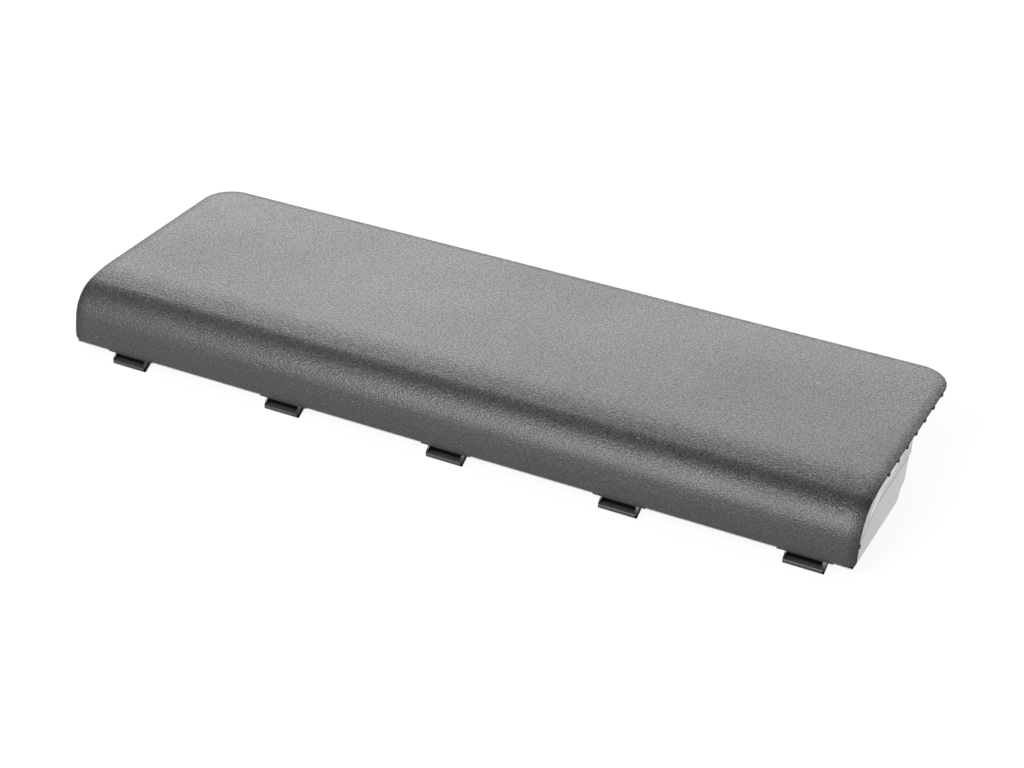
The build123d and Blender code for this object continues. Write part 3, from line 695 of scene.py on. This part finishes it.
def area_lamp(name, place, aim, size, power):
    """Soft rectangular lamp at a place, turned to what it lights."""
    lamp = bpy.data.lights.new(name, "AREA")
    lamp.shape = "RECTANGLE"
    lamp.size, lamp.size_y = size
    lamp.energy = power
    item = bpy.data.objects.new(name, lamp)
    bpy.context.scene.collection.objects.link(item)
    item.location = place
    item.rotation_euler = (Vector(aim) - Vector(place)).to_track_quat("-Z", "Y").to_euler()
    item.visible_camera = False


def seen_white(tree):
    """Whether a ray comes from the camera, a reflection or a clear piece, as 0 or 1."""
    path = node(tree, "ShaderNodeLightPath").outputs
    plain = sum_of(tree, path["Is Camera Ray"], path["Is Glossy Ray"], "MAXIMUM")
    return sum_of(tree, plain, path["Is Transmission Ray"], "MAXIMUM")


def lay_floor(scene, settings):
    """Pale floor that takes the battery's shadow, and shows nearly white to the camera and in reflections."""
    made = bmesh.new()
    bmesh.ops.create_grid(made, x_segments=1, y_segments=1, size=settings.floor_size / 2)
    mesh = bpy.data.meshes.new("floor")
    made.to_mesh(mesh)
    made.free()
    floor = bpy.data.objects.new("floor", mesh)
    scene.collection.objects.link(floor)
    material = bpy.data.materials.new("floor_paper")
    material.use_nodes = True
    tree = material.node_tree
    tree.nodes.clear()
    matte = node(tree, "ShaderNodeBsdfDiffuse", {"Color": settings.floor}).outputs[0]
    white = node(tree, "ShaderNodeEmission", {"Color": WHITE, "Strength": 1.0}).outputs[0]
    share = sum_of(tree, seen_white(tree), FLOOR_WHITE, "MULTIPLY")
    both = node(tree, "ShaderNodeMixShader", {0: share, 1: matte, 2: white}).outputs[0]
    node(tree, "ShaderNodeOutputMaterial", {"Surface": both})
    floor.data.materials.append(material)


def light_world(scene):
    """Even pale light, white to the camera, whose reflection dims upwards and to the right."""
    world = bpy.data.worlds.new("studio")
    scene.world = world
    world.use_nodes = True
    tree = world.node_tree
    tree.nodes.clear()
    side, _, up = node(tree, "ShaderNodeSeparateXYZ", {
        0: node(tree, "ShaderNodeTexCoord").outputs["Generated"]}).outputs
    slant = sum_of(tree, up, sum_of(tree, side, 0.6, "MULTIPLY"))
    mirrored = scaled(tree, slant, 1.0, 0.2, (0.05, 0.85))
    path = node(tree, "ShaderNodeLightPath").outputs
    seen = sum_of(tree, path["Is Camera Ray"], path["Is Transmission Ray"], "MAXIMUM")
    plain = scaled(tree, seen, SKY_WHITE, 1.0)
    strength = node(tree, "ShaderNodeMix", {0: path["Is Glossy Ray"], 2: plain, 3: mirrored}).outputs[0]
    light = node(tree, "ShaderNodeBackground", {"Color": WHITE, "Strength": strength}).outputs[0]
    node(tree, "ShaderNodeOutputWorld", {"Surface": light})


def set_camera(scene):
    """Camera before the battery and to its right, looking down at it."""
    camera = bpy.data.objects.new("camera", bpy.data.cameras.new("camera"))
    scene.collection.objects.link(camera)
    camera.data.sensor_width = CAMERA_SENSOR
    camera.data.lens = CAMERA_LENS
    camera.data.clip_start = 0.01
    camera.location = CAMERA_PLACE
    camera.rotation_euler = [radians(turn) for turn in CAMERA_TURN]
    scene.camera = camera


class BATTERY_OT_stage(bpy.types.Operator):
    """Lay the floor, light it and set the camera"""

    bl_idname = "battery.stage"
    bl_label = "Stage"

    def execute(self, context):
        scene = context.scene
        settings = scene.battery_stage
        lay_floor(scene, settings)
        light_world(scene)
        area_lamp("rear_softbox", *REAR_SOFTBOX, settings.rear_power)
        area_lamp("front_softbox", *FRONT_SOFTBOX, settings.front_power)
        set_camera(scene)
        scene.view_settings.view_transform = "Standard"
        return {"FINISHED"}


class BATTERY_PT_pieces(bpy.types.Panel):
    """Sidebar panel with the battery's pieces"""

    bl_label = "Laptop battery"
    bl_space_type = "VIEW_3D"
    bl_region_type = "UI"
    bl_category = "Battery"

    def draw(self, context):
        for group in (context.scene.battery_finish, context.scene.battery_stage):
            for name in group.__annotations__:
                self.layout.prop(group, name)
        for operator in OPERATORS:
            self.layout.operator(operator.bl_idname)


OPERATORS = (
    BATTERY_OT_cover,
    BATTERY_OT_tray,
    BATTERY_OT_cells,
    BATTERY_OT_board,
    BATTERY_OT_connector,
    BATTERY_OT_stage,
)
GROUPS = (BatteryFinish, BatteryStage)


def register():
    for item in GROUPS + OPERATORS + (BATTERY_PT_pieces,):
        bpy.utils.register_class(item)
    bpy.types.Scene.battery_finish = bpy.props.PointerProperty(type=BatteryFinish)
    bpy.types.Scene.battery_stage = bpy.props.PointerProperty(type=BatteryStage)


def unregister():
    del bpy.types.Scene.battery_stage
    del bpy.types.Scene.battery_finish
    for item in reversed(GROUPS + OPERATORS + (BATTERY_PT_pieces,)):
        bpy.utils.unregister_class(item)


def main():
    register()
    bpy.ops.battery.cover()
    bpy.ops.battery.tray()
    bpy.ops.battery.cells()
    bpy.ops.battery.board()
    bpy.ops.battery.connector()
    bpy.ops.battery.stage()


if __name__ == "__main__":
    main()
